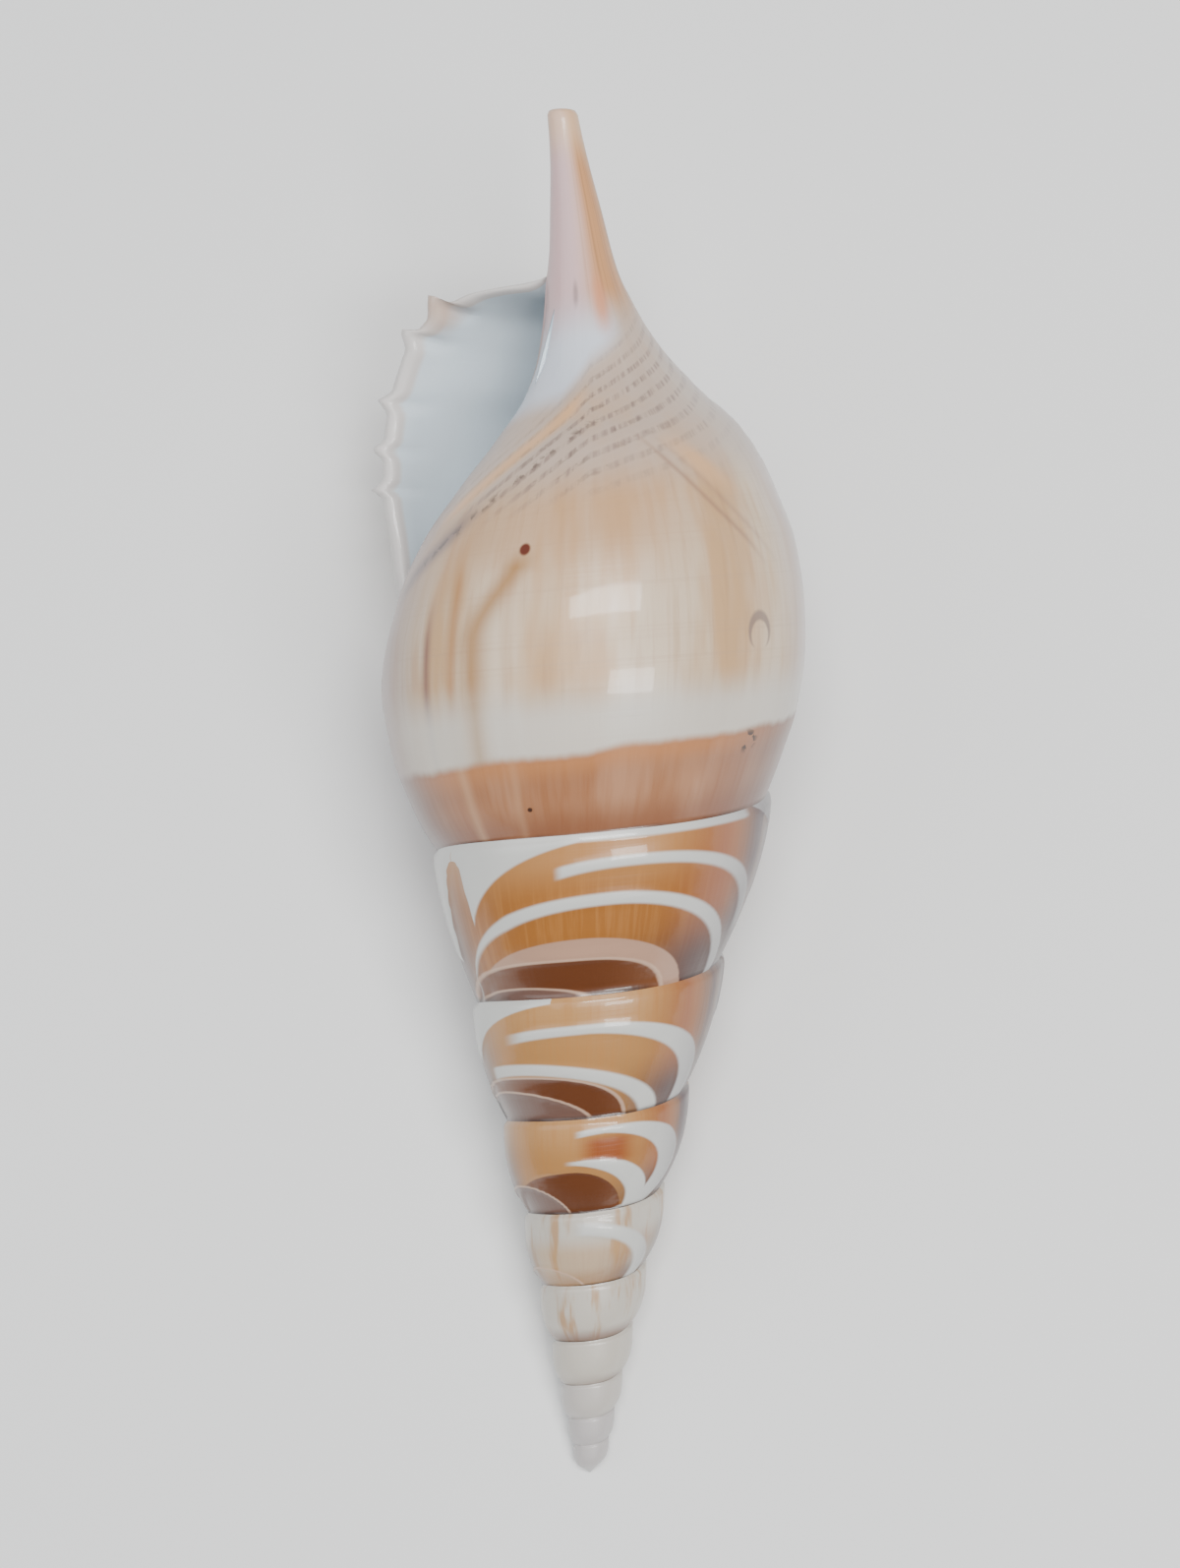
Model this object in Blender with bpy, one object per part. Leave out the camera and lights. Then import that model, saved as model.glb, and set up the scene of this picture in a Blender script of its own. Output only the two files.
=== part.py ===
"""A carved tibia shell, lying on its belly.

The shell is one grown piece: a tall spire of whorls, a swollen last whorl, a long
siphonal canal and a toothed outer lip that stands open beside the columella.

It is worked out in its own frame first. The coiling axis is +Y, with the tip of the
spire at height 0 and the canal at full height. Growth is counted in turns, and the
turn is a whole number where the shell faces -X. Azimuth runs from +Z through +X,
so the coil is right-handed. Heights and radii are in millimetres until the end.
"""
import math

import bmesh
import bpy
from mathutils import Matrix, Vector

# Driving dimensions, in millimetres unless a name says otherwise
MM = 0.001
LENGTH = 140.0
COLUMNS_PER_TURN = 36
LIP_TURN = 11 / 12
FIRST_TURN = LIP_TURN - 10
WALL = 1.0
LIP_WALL = 1.9
LIP_WALL_TURNS = 0.2
CALLUS = 0.3
CAVITY_TURNS = 2.25
CAVITY_COLUMN_STEP = 3

# Coil: heights grow by the same ratio each turn about a point below the tip
COIL_RATIO = 1.275
COIL_HEIGHT = 71.1
COIL_BELOW_TIP = 8.13
COIL_LEAN = math.radians(4.5)
SPIRE_RADIUS = (1.32, 0.19, 0.00069)
SUTURE_GROOVE = 0.35

# Whorl bulge: a low power is a straight side, a high power a barrel
BULGE_AT_BODY = 1.5
BULGE_PER_TURN = 0.55
BULGE_AT_TIP = 4.0
BULGE_GAIN_AT_BODY = 0.45

# Last whorl: (height, radius) from the suture to the canal, on the side that
# faces -X, on the side that faces +X half a turn later, and along the lip
BODY_LEFT = ((64.0, 16.0), (68.7, 18.3), (75.0, 20.5), (82.0, 21.2), (89.0, 19.9), (95.0, 17.5),
             (100.6, 13.7), (106.0, 9.7), (111.5, 6.3), (117.5, 4.6))
BODY_RIGHT = ((71.4, 18.5), (75.6, 20.1), (80.5, 21.5), (86.8, 22.15), (94.5, 21.5), (101.0, 19.4),
              (107.5, 15.9), (112.5, 10.6), (116.8, 6.9), (121.0, 4.7))
BODY_LIP = ((82.2, 20.8), (84.6, 22.0), (88.0, 23.2), (92.0, 24.2), (97.0, 25.0), (102.7, 25.9),
            (109.0, 25.6), (114.8, 24.0), (119.6, 20.6), (122.6, 14.5))
CANAL = ((124.4, 3.5), (130.0, 2.64), (135.7, 1.88), (LENGTH, 1.55))
FLARE_FROM_TURN = 0.45
FLARE_POWER = 3.0

# Canal: it bends to one side and carries an open channel on the aperture's side
CANAL_BEND = 2.85
CANAL_BEND_FROM = 113.8
CANAL_BEND_POWER = 1.4
CHANNEL_DEPTH = 0.45
CHANNEL_HALF_ANGLE = math.radians(22)

# Lip teeth: (place along the lip as a control point number, length)
TEETH = ((5.0, 1.3), (5.67, 1.3), (6.5, 1.3), (7.75, 1.6), (8.5, 2.0))
TOOTH_HALF_WIDTH = 0.2

# Rest: the shell leans on its belly and the tip of its spire, both rubbed a little flat
REST_SLOPE = math.radians(14.15)
REST_ROLL = math.radians(4.63)
REST_WEAR = 0.5

SPIRE_ROWS = (0.0, 0.12, 0.32, 0.60, 0.93)
WIDEST_POINT = 3
JOIN_POINT = len(BODY_LEFT)
CANAL_ROWS = (10.6, 11.2, 11.8, 12.4, 13.0)


def lerp(start, end, share):
    return start + (end - start) * share


def azimuth(turn):
    return math.radians(270) + math.tau * turn


def suture(turn):
    """Height and radius of the suture line."""
    level = COIL_HEIGHT * COIL_RATIO ** turn - COIL_BELOW_TIP
    constant, slope, curve = SPIRE_RADIUS
    radius = constant + slope * level + curve * level * level
    height = level - radius * math.tan(COIL_LEAN) * math.sin(azimuth(turn))
    return height, radius


def groove_point(turn):
    """Bottom of the groove along the suture line."""
    height, radius = suture(turn)
    return height, radius - SUTURE_GROOVE * min(1.0, radius / 4)


def spire_point(turn, share):
    """Point of a spire whorl, from its own suture (0) to the next one (1)."""
    low_height, low_radius = groove_point(turn)
    high_height, high_radius = suture(turn + 1)
    if turn < -1:
        bulge = min(BULGE_AT_TIP, BULGE_AT_BODY + BULGE_PER_TURN * (-1 - turn))
    else:
        bulge = BULGE_AT_BODY + BULGE_GAIN_AT_BODY * (turn + 1)
    swell = 1 - (1 - share) ** bulge
    return lerp(low_height, high_height, share), lerp(low_radius, high_radius, swell)


def body_controls(turn):
    """Control points of the last whorl's outline at a turn."""
    flare = max(0.0, (turn - FLARE_FROM_TURN) / (LIP_TURN - FLARE_FROM_TURN)) ** FLARE_POWER
    controls = [groove_point(turn)]
    for left, right, lip in zip(BODY_LEFT[1:], BODY_RIGHT[1:], BODY_LIP[1:]):
        plain = [lerp(a, b, 2 * turn) for a, b in zip(left, right)]
        full = [lerp(a, b, 2 * LIP_TURN) for a, b in zip(left, right)]
        controls.append(tuple(p + flare * (l - f) for p, f, l in zip(plain, full, lip)))
    controls.extend(CANAL)
    return controls


def along(controls, place):
    """Point on the smooth curve through the control points, by point number."""
    index = min(int(place), len(controls) - 2)
    t = place - index
    before = controls[max(index - 1, 0)]
    start = controls[index]
    end = controls[index + 1]
    after = controls[min(index + 2, len(controls) - 1)]
    return tuple(
        0.5 * (2 * b + (c - a) * t + (2 * a - 5 * b + 4 * c - d) * t * t
               + (3 * b - a - 3 * c + d) * t ** 3)
        for a, b, c, d in zip(before, start, end, after))


def lip_places():
    """Rows past the widest point, with three on each tooth."""
    places = {3.5, 4.0, 4.5, 9.0, 9.5, float(JOIN_POINT)}
    for place, _length in TEETH:
        places.update((place - TOOTH_HALF_WIDTH, place, place + TOOTH_HALF_WIDTH))
    for first, second in zip(TEETH, TEETH[1:]):
        if second[0] - first[0] > 0.7:
            places.add((first[0] + second[0]) / 2)
    return sorted(places)


SIDE_ROWS = len(SPIRE_ROWS)
LIP_PLACES = [WIDEST_POINT] + lip_places()
JOIN_ROW = SIDE_ROWS + len(LIP_PLACES) - 1
LAST_ROW = JOIN_ROW + len(CANAL_ROWS)


def row_place(row):
    """Control point number of a row on the last whorl."""
    if row < SIDE_ROWS:
        return WIDEST_POINT * SPIRE_ROWS[row]
    if row <= JOIN_ROW:
        return LIP_PLACES[row - SIDE_ROWS]
    return CANAL_ROWS[row - JOIN_ROW - 1]


def outline(turn, row):
    """Height and radius of a row at any turn, hidden whorls included."""
    first = LIP_TURN - 1
    if turn < first - 1e-6:
        if row < SIDE_ROWS:
            return spire_point(turn, SPIRE_ROWS[row])
        if row == SIDE_ROWS:
            return groove_point(turn + 1)
        scale = COIL_RATIO ** (turn - first)
        height, radius = outline(first, row)
        return ((height + COIL_BELOW_TIP) * scale - COIL_BELOW_TIP,
                radius * suture(turn + 1)[1] / suture(LIP_TURN)[1])
    point = along(body_controls(turn), row_place(row))
    settle = min(1.0, (turn - first) * 8)
    if settle < 1 and row <= SIDE_ROWS:
        if row < SIDE_ROWS:
            spire = spire_point(turn, SPIRE_ROWS[row])
        else:
            spire = groove_point(turn + 1)
        point = tuple(lerp(s, p, settle) for s, p in zip(spire, point))
    return point


def channel(turn, row):
    """Share of the radius that the canal's open channel takes away."""
    if row <= JOIN_ROW:
        return 0.0
    off = abs(math.remainder(azimuth(turn) - azimuth(LIP_TURN), math.tau))
    return CHANNEL_DEPTH * max(0.0, 1 - off / CHANNEL_HALF_ANGLE)


def place_point(turn, height, radius):
    """Point in the shell's frame, with the canal's bend."""
    bend = max(0.0, (height - CANAL_BEND_FROM) / (LENGTH - CANAL_BEND_FROM)) ** CANAL_BEND_POWER
    angle = azimuth(turn)
    return Vector((radius * math.sin(angle) - CANAL_BEND * bend, height, radius * math.cos(angle)))


def tooth_offset(row):
    """How far a tooth carries a lip row outward, in the plane that faces +Z."""
    if not SIDE_ROWS <= row < JOIN_ROW:
        return Vector((0, 0, 0))
    place = row_place(row)
    reach = max((length for tooth, length in TEETH if abs(tooth - place) < 1e-6), default=0.0)
    controls = body_controls(LIP_TURN)
    low = place_point(LIP_TURN, *along(controls, place - 0.1))
    high = place_point(LIP_TURN, *along(controls, place + 0.1))
    edge = (high - low).normalized()
    return Vector((-edge.y, edge.x, 0)).normalized() * reach


def polyline_at(points, share):
    """Point at a share of the way along a list of points, by number."""
    place = share * (len(points) - 1)
    index = min(int(place), len(points) - 2)
    return points[index].lerp(points[index + 1], place - index)


def toward(point, middle, distance):
    """Point moved toward the middle of the hollow, by at most two fifths of the gap."""
    gap = (middle - point).length
    return point.lerp(middle, min(0.8, distance / gap))


def cavity_loop(turn):
    """Outer and inner side of the hollow's section at a turn."""
    outer_wall = [place_point(turn, *outline(turn, row)) for row in range(JOIN_ROW + 1)]
    inner_wall = [place_point(turn - 1, *outline(turn - 1, row))
                  for row in range(SIDE_ROWS, JOIN_ROW + 1)]
    wall = lerp(LIP_WALL, WALL, min(1.0, (LIP_TURN - turn) / LIP_WALL_TURNS))
    outer = []
    for row in range(1, JOIN_ROW):
        across = polyline_at(inner_wall, row / JOIN_ROW)
        outer.append(toward(outer_wall[row], (outer_wall[row] + across) / 2, wall))
    inner = []
    for row in range(1, len(inner_wall) - 1):
        across = polyline_at(outer_wall, row / (len(inner_wall) - 1))
        inner.append(toward(inner_wall[row], (inner_wall[row] + across) / 2, CALLUS))
    return outer, inner


def grow_shell():
    """The shell as one closed mesh, in the shell's own frame."""
    mesh = bmesh.new()
    columns = {}
    last_column = round((LIP_TURN - FIRST_TURN) * COLUMNS_PER_TURN)
    body_column = last_column - COLUMNS_PER_TURN

    def turn_of(column):
        return FIRST_TURN + column / COLUMNS_PER_TURN

    for column in range(last_column, -1, -1):
        turn = turn_of(column)
        rows = LAST_ROW + 1 if column >= body_column else SIDE_ROWS
        grown = []
        for row in range(rows):
            if column == body_column and row == SIDE_ROWS:
                grown.append(columns[last_column][0])
                continue
            if column == body_column and row >= JOIN_ROW:
                grown.append(columns[last_column][row])
                continue
            height, radius = outline(turn, row)
            point = place_point(turn, height, radius * (1 - channel(turn, row)))
            if column == last_column:
                point += tooth_offset(row)
            grown.append(mesh.verts.new(point))
        if column < body_column:
            grown.append(columns[column + COLUMNS_PER_TURN][0])
        columns[column] = grown

    for column in range(last_column):
        here = columns[column]
        there = columns[column + 1]
        rows = LAST_ROW if column >= body_column else SIDE_ROWS
        for row in range(rows):
            mesh.faces.new((here[row], there[row], there[row + 1], here[row + 1]))

    tip = mesh.verts.new((0, -0.35, 0))
    rim = [columns[column][0] for column in range(COLUMNS_PER_TURN + 1)]
    rim += columns[0][SIDE_ROWS - 1:0:-1]
    for first, second in zip(rim, rim[1:] + rim[:1]):
        mesh.faces.new((first, tip, second))

    end = mesh.verts.new(place_point(0, LENGTH, 0))
    mouth = [columns[column][LAST_ROW] for column in range(body_column, last_column)]
    for first, second in zip(mouth, mouth[1:] + mouth[:1]):
        mesh.faces.new((first, second, end))

    lip = columns[last_column]
    wall = columns[body_column][SIDE_ROWS:JOIN_ROW + 1]
    outer, _inner = cavity_loop(LIP_TURN)
    near_outer = []
    for row, point in enumerate(outer, start=1):
        near_outer.append(mesh.verts.new(point + tooth_offset(row) * 0.8))
    near_inner = wall[1:-1]
    for row in range(1, JOIN_ROW - 1):
        mesh.faces.new((lip[row + 1], lip[row], near_outer[row - 1], near_outer[row]))
    mesh.faces.new((lip[1], lip[0], near_outer[0]))
    mesh.faces.new((lip[0], near_inner[0], near_outer[0]))
    mesh.faces.new((lip[JOIN_ROW], lip[JOIN_ROW - 1], near_outer[-1]))
    mesh.faces.new((lip[JOIN_ROW], near_outer[-1], near_inner[-1]))

    steps = round(CAVITY_TURNS * COLUMNS_PER_TURN / CAVITY_COLUMN_STEP)
    loop = near_outer + near_inner[::-1]
    for step in range(1, steps + 1):
        turn = LIP_TURN - step * CAVITY_COLUMN_STEP / COLUMNS_PER_TURN
        outer, inner = cavity_loop(turn)
        deeper = [mesh.verts.new(point) for point in outer + inner[::-1]]
        for index, (near, far) in enumerate(zip(loop, deeper)):
            after = (index + 1) % len(loop)
            mesh.faces.new((near, far, deeper[after], loop[after]))
        loop = deeper

    back_outer = loop[:len(near_outer)]
    back_inner = loop[len(near_outer):][::-1]
    i = j = 0
    while i < len(back_outer) - 1 or j < len(back_inner) - 1:
        if i / (len(back_outer) - 1) <= j / (len(back_inner) - 1) and i < len(back_outer) - 1:
            mesh.faces.new((back_outer[i], back_inner[j], back_outer[i + 1]))
            i += 1
        else:
            mesh.faces.new((back_outer[i], back_inner[j], back_inner[j + 1]))
            j += 1
    bmesh.ops.triangulate(mesh, faces=mesh.faces[:])
    bmesh.ops.recalc_face_normals(mesh, faces=mesh.faces[:])
    return mesh


def lay_down(mesh):
    """Turn the shell onto its belly and centre it over the origin."""
    turn = Matrix.Rotation(REST_SLOPE, 4, "X") @ Matrix.Rotation(REST_ROLL, 4, "Y")
    bmesh.ops.transform(mesh, matrix=Matrix.Scale(MM, 4) @ turn, verts=mesh.verts)
    worn_level = min(v.co.z for v in mesh.verts) + REST_WEAR * MM
    for vertex in mesh.verts:
        vertex.co.z = max(vertex.co.z, worn_level)
    low = Vector([min(v.co[axis] for v in mesh.verts) for axis in range(3)])
    high = Vector([max(v.co[axis] for v in mesh.verts) for axis in range(3)])
    shift = Vector((-(low.x + high.x) / 2, -(low.y + high.y) / 2, -low.z))
    bmesh.ops.translate(mesh, vec=shift, verts=mesh.verts)


def shell_material():
    material = bpy.data.materials.new("polished_shell")
    material.use_nodes = True
    shader = material.node_tree.nodes["Principled BSDF"]
    shader.inputs["Base Color"].default_value = (0.72, 0.53, 0.38, 1)
    shader.inputs["Roughness"].default_value = 0.3
    shader.inputs["Metallic"].default_value = 0.0
    return material


def make_shell():
    for old in list(bpy.data.objects):
        bpy.data.objects.remove(old, do_unlink=True)
    grown = grow_shell()
    lay_down(grown)
    data = bpy.data.meshes.new("tibia_shell")
    grown.to_mesh(data)
    grown.free()
    data.shade_smooth()
    data.set_sharp_from_angle(angle=math.radians(35))
    data.materials.append(shell_material())
    shell = bpy.data.objects.new("tibia_shell", data)
    collection = bpy.data.collections.new("carved_tibia_shell")
    bpy.context.scene.collection.children.link(collection)
    collection.objects.link(shell)


make_shell()
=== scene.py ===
"""The looks of a carved tibia shell: its grown surface, its carved arcs, its polish and its colours."""
import math

import bpy
from mathutils import Matrix, Vector


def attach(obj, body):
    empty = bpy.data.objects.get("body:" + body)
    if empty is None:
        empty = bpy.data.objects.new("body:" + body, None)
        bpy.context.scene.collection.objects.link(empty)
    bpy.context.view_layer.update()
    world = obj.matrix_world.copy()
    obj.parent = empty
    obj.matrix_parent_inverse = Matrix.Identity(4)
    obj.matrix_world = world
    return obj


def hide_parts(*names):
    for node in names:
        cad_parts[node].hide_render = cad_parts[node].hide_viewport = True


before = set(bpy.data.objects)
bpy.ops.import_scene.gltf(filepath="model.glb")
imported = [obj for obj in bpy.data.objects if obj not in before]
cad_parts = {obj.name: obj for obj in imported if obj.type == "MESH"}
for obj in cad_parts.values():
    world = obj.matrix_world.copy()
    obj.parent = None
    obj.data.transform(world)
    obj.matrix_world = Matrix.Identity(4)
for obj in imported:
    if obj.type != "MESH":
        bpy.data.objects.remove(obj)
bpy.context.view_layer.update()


# Shell
# One grown piece of lime: a coiled spire, a swollen last whorl, a long canal and a toothed lip.
# It is polished all over and its spire is carved through the brown outer layer into the white
# one. It lies on its belly, so nothing fixes it.

class Wire:
    """A socket of a node tree. Arithmetic on it adds the tree's Math nodes."""

    def __init__(self, tree, socket):
        self.tree = tree
        self.socket = socket

    def math(self, operation, *values, flipped=False):
        operands = (*values, self) if flipped else (self, *values)
        return self.tree.add("ShaderNodeMath", {"operation": operation}, dict(enumerate(operands)))

    def __add__(self, other):
        return self.math("ADD", other)

    __radd__ = __add__

    def __sub__(self, other):
        return self.math("SUBTRACT", other)

    def __rsub__(self, other):
        return self.math("SUBTRACT", other, flipped=True)

    def __mul__(self, other):
        return self.math("MULTIPLY", other)

    __rmul__ = __mul__

    def __truediv__(self, other):
        return self.math("DIVIDE", other)

    def __pow__(self, other):
        return self.math("POWER", other)

    def __gt__(self, other):
        return self.math("GREATER_THAN", other)

    def __lt__(self, other):
        return self.math("LESS_THAN", other)

    def least(self, other):
        return self.math("MINIMUM", other)

    def most(self, other):
        return self.math("MAXIMUM", other)

    def size(self):
        return self.math("ABSOLUTE")

    def ramp(self, low, high, shape="LINEAR"):
        """0 at low and 1 at high, held beyond them."""
        return self.tree.add("ShaderNodeMapRange", {"interpolation_type": shape, "clamp": True},
                             {"Value": self, "From Min": low, "From Max": high})

    def step(self, low, high):
        """0 at low and 1 at high, with a soft start and end."""
        return self.ramp(low, high, "SMOOTHSTEP")


class Tree:
    """A node tree that is being wired up. sizes holds the sockets of its named sizes."""

    def __init__(self, node_tree):
        self.nodes = node_tree.nodes
        self.links = node_tree.links
        self.sizes = {}

    def add(self, kind, settings=None, inputs=None, out=0):
        """Adds a node: its settings first, then the values or wires of its sockets."""
        node = self.nodes.new(kind)
        for name, value in (settings or {}).items():
            if name == "curve_points":
                self.shape_curve(node.mapping, value)
            else:
                setattr(node, name, value)
        for name, value in (inputs or {}).items():
            for part in value if isinstance(value, list) else [value]:
                if isinstance(part, Wire):
                    self.links.new(part.socket, node.inputs[name])
                else:
                    node.inputs[name].default_value = part
        return Wire(self, node.outputs[out])

    def add_output(self, inputs):
        """Ends the tree with what it gives out."""
        node = self.nodes.new("NodeGroupOutput")
        for name, value in inputs.items():
            self.links.new(value.socket, node.inputs[name])

    def shape_curve(self, mapping, points):
        curve = mapping.curves[0]
        for _ in points[2:]:
            curve.points.new(0.5, 0.5)
        for point, place in zip(curve.points, points):
            point.location = place
        mapping.update()


def lerp(start, end, share):
    return start + (end - start) * share


# Sizes in millimetres. A turn is a whole number where the shell faces -X, and a place runs
# from 0 at the suture through 3 at the widest line and 10 at the canal's root to 13 at its end.
SHELL_SIZES = {
    "Coil height": 71.1,
    "Coil ratio": 1.275,
    "Coil below tip": 8.13,
    "Coil lean": math.tan(math.radians(4.5)),
    "Suture groove": 0.35,
    "Canal bend": 2.85,
    "Canal channel": 0.45,
    "Lip wall": 1.9,
    "Whorl wall": 1.0,
    "Callus": 0.3,
    "Carving depth": 0.3,
    "Growth ripple": 0.05,
    "Tooth length": 1.0,
}
SPIRE_RADIUS = (1.32, 0.19, 0.00069)
LIP_TURN = 11 / 12
FIRST_TURN = LIP_TURN - 10
BODY_TURN = LIP_TURN - 1
CANAL_LENGTH = 140.0
CANAL_BEND_FROM = 113.8
CHANNEL_HALF_ANGLE = 22 / 360
LAST_PLACE = 13
CANAL = ((124.4, 3.5), (130.0, 2.64), (135.7, 1.88), (CANAL_LENGTH, 1.55))
BODY_LEFT = ((64.0, 16.0), (68.7, 18.3), (75.0, 20.5), (82.0, 21.2), (89.0, 19.9), (95.0, 17.5),
             (100.6, 13.7), (106.0, 9.7), (111.5, 6.3), (117.5, 4.6), *CANAL)
BODY_RIGHT = ((71.4, 18.5), (75.6, 20.1), (80.5, 21.5), (86.8, 22.15), (94.5, 21.5), (101.0, 19.4),
              (107.5, 15.9), (112.5, 10.6), (116.8, 6.9), (121.0, 4.7), *CANAL)
BODY_LIP = ((82.2, 20.8), (84.6, 22.0), (88.0, 23.2), (92.0, 24.2), (97.0, 25.0), (102.7, 25.9),
            (109.0, 25.6), (114.8, 24.0), (119.6, 20.6), (122.6, 14.5), *CANAL)
FLARE_FROM_TURN = 0.45
# Lip teeth: place along the lip, length, half width in places
TEETH = ((5.0, 1.3, 0.17), (5.67, 1.3, 0.17), (6.5, 1.3, 0.2), (7.75, 1.6, 0.24), (8.5, 2.0, 0.26))
REST_SLOPE = math.radians(14.15)
REST_ROLL = math.radians(4.63)

# How finely each surface is meshed
COLUMNS_PER_TURN = 156
SIDE_ROWS = 33
BASE_ROWS = 88
CANAL_ROWS = 22
RIM_ROWS = 8
HOLLOW_TURNS = 0.85
HOLLOW_COLUMNS = 60


def new_group(name, inputs, outputs):
    """An empty node group whose inputs end with the shell's named sizes."""
    group = bpy.data.node_groups.new(name, "GeometryNodeTree")
    for socket, kind in inputs:
        group.interface.new_socket(socket, in_out="INPUT", socket_type=kind)
    for socket in SHELL_SIZES:
        group.interface.new_socket(socket, in_out="INPUT", socket_type="NodeSocketFloat")
    for socket, kind in outputs:
        group.interface.new_socket(socket, in_out="OUTPUT", socket_type=kind)
    tree = Tree(group)
    given = group.nodes.new("NodeGroupInput")
    tree.sizes = {socket: Wire(tree, given.outputs[socket]) for socket in SHELL_SIZES}
    return group, tree, [Wire(tree, given.outputs[socket]) for socket, _ in inputs]


def rule(kind, outputs):
    """Makes a function of turn and place into a node group that is wired once and used often."""
    def make(shape):
        named = [(chr(ord("A") + index), kind) for index in range(outputs)]
        asked = [("Turn", "NodeSocketFloat"), ("Place", "NodeSocketFloat")]
        group, tree, given = new_group(shape.__name__, asked, named)
        results = shape(*given)
        results = results if isinstance(results, tuple) else (results,)
        tree.add_output({name: result for (name, _), result in zip(named, results)})

        def use(turn, place):
            inputs = {"Turn": turn, "Place": place, **turn.tree.sizes}
            node = turn.tree.add("GeometryNodeGroup", {"node_tree": group}, inputs).socket.node
            answers = tuple(Wire(turn.tree, node.outputs[name]) for name, _ in named)
            return answers if outputs > 1 else answers[0]
        return use
    return make


def azimuth(turn):
    return (turn + 0.75) * math.tau


def suture(turn):
    """Height and radius of the line where a whorl meets the one before it."""
    size = turn.tree.sizes
    level = size["Coil height"] * size["Coil ratio"] ** turn - size["Coil below tip"]
    constant, slope, curve = SPIRE_RADIUS
    radius = level * level * curve + level * slope + constant
    return level - radius * size["Coil lean"] * azimuth(turn).math("SINE"), radius


def groove(turn):
    """Height and radius at the bottom of the suture's groove."""
    height, radius = suture(turn)
    return height, radius - turn.tree.sizes["Suture groove"] * (radius / 4).least(1)


@rule("NodeSocketFloat", 2)
def spire_outline(turn, place):
    """A spire whorl's side, from its own suture to the next one."""
    share = (place / 3).least(1)
    low_height, low_radius = groove(turn)
    high_height, high_radius = suture(turn + 1)
    bulge = 1.5 + (0.55 * (-1 - turn).most(0)).least(2.5) + 0.45 * (turn + 1).most(0)
    swell = 1 - (1 - share).most(0) ** bulge
    dip = turn.tree.sizes["Suture groove"] * (high_radius / 4).least(1) * share.ramp(0.95, 1) ** 1.5
    return lerp(low_height, high_height, share), lerp(low_radius, high_radius, swell) - dip


def along(points, which, place):
    """Smooth curve through the heights or the radii of an outline's points, by point number."""
    reach = max(point[which] for point in points)
    dots = [(index / LAST_PLACE, point[which] / reach) for index, point in enumerate(points)]
    curve = place.tree.add("ShaderNodeFloatCurve", {"curve_points": dots}, {"Value": place / LAST_PLACE})
    return reach * curve


@rule("NodeSocketFloat", 2)
def body_outline(turn, place):
    """The last whorl's side and base, the lip's flare and the canal."""
    flare = turn.ramp(FLARE_FROM_TURN, LIP_TURN) ** 3
    near_suture = (1 - place).most(0) ** 2
    seam = turn.ramp(BODY_TURN + 0.125, BODY_TURN)
    spire = spire_outline(turn, place)
    settling = seam * place.ramp(3.5, 3)
    grown = []
    for which, start in enumerate(groove(turn)):
        left, right, lip = (along(points, which, place) for points in (BODY_LEFT, BODY_RIGHT, BODY_LIP))
        low_left, low_right, low_lip = (points[0][which] for points in (BODY_LEFT, BODY_RIGHT, BODY_LIP))
        plain = left + (right - left) * (2 * turn)
        point = plain + flare * (lip - left - (right - left) * (2 * LIP_TURN))
        low = low_left + (low_right - low_left) * 2 * turn
        low = low + flare * (low_lip - low_left - (low_right - low_left) * 2 * LIP_TURN)
        point = point + (start - low) * near_suture
        point = lerp(point, spire[which], settling)
        grown.append(lerp(point, lip, seam * (place > 10)))
    height, radius = grown
    off = (LIP_TURN - turn).least(turn - BODY_TURN)
    channel = turn.tree.sizes["Canal channel"] * (1 - off / CHANNEL_HALF_ANGLE).most(0)
    channel = channel * place.ramp(10, 10.6)
    return height, radius * (1 - channel) * (14 - place).least(1)


@rule("NodeSocketFloat", 2)
def hidden_outline(turn, place):
    """The whorl behind the aperture: the last whorl's first column, shrunk as the coil shrinks."""
    size = turn.tree.sizes
    shrunk = size["Coil ratio"] ** (turn - BODY_TURN)
    height, radius = body_outline(turn * 0 + BODY_TURN, place)
    below = size["Coil below tip"]
    return (height + below) * shrunk - below, radius * suture(turn + 1)[1] / suture(turn * 0 + LIP_TURN)[1]


def combine(tree, x, y, z=0):
    return tree.add("ShaderNodeCombineXYZ", inputs={0: x, 1: y, 2: z})


def coil(turn, outline):
    """Point in the shell's own frame, with the coil's axis along +Y and the canal's bend."""
    height, radius = outline
    bend = turn.tree.sizes["Canal bend"] * height.ramp(CANAL_BEND_FROM, CANAL_LENGTH) ** 1.4
    angle = azimuth(turn)
    return combine(turn.tree, radius * angle.math("SINE") - bend, height, radius * angle.math("COSINE"))


def vector_math(operation, first, second, out="Vector"):
    second_socket = "Scale" if operation == "SCALE" else 1
    return first.tree.add("ShaderNodeVectorMath", {"operation": operation},
                          {0: first, second_socket: second}, out)


def between(first, second, share):
    return first.tree.add("ShaderNodeMix", {"data_type": "VECTOR"}, {0: share, 4: first, 5: second}, 1)


def tooth_reach(place):
    """Length of the lip's teeth, thorns with hollow flanks and a rounded point."""
    reach = 0
    for middle, length, half in TEETH:
        away = (((place - middle) / half) ** 2 + 0.02) ** 0.5 - 0.141
        reach = (1 - away).most(0) ** 1.7 * length + reach
    return reach * place.tree.sizes["Tooth length"]


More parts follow.
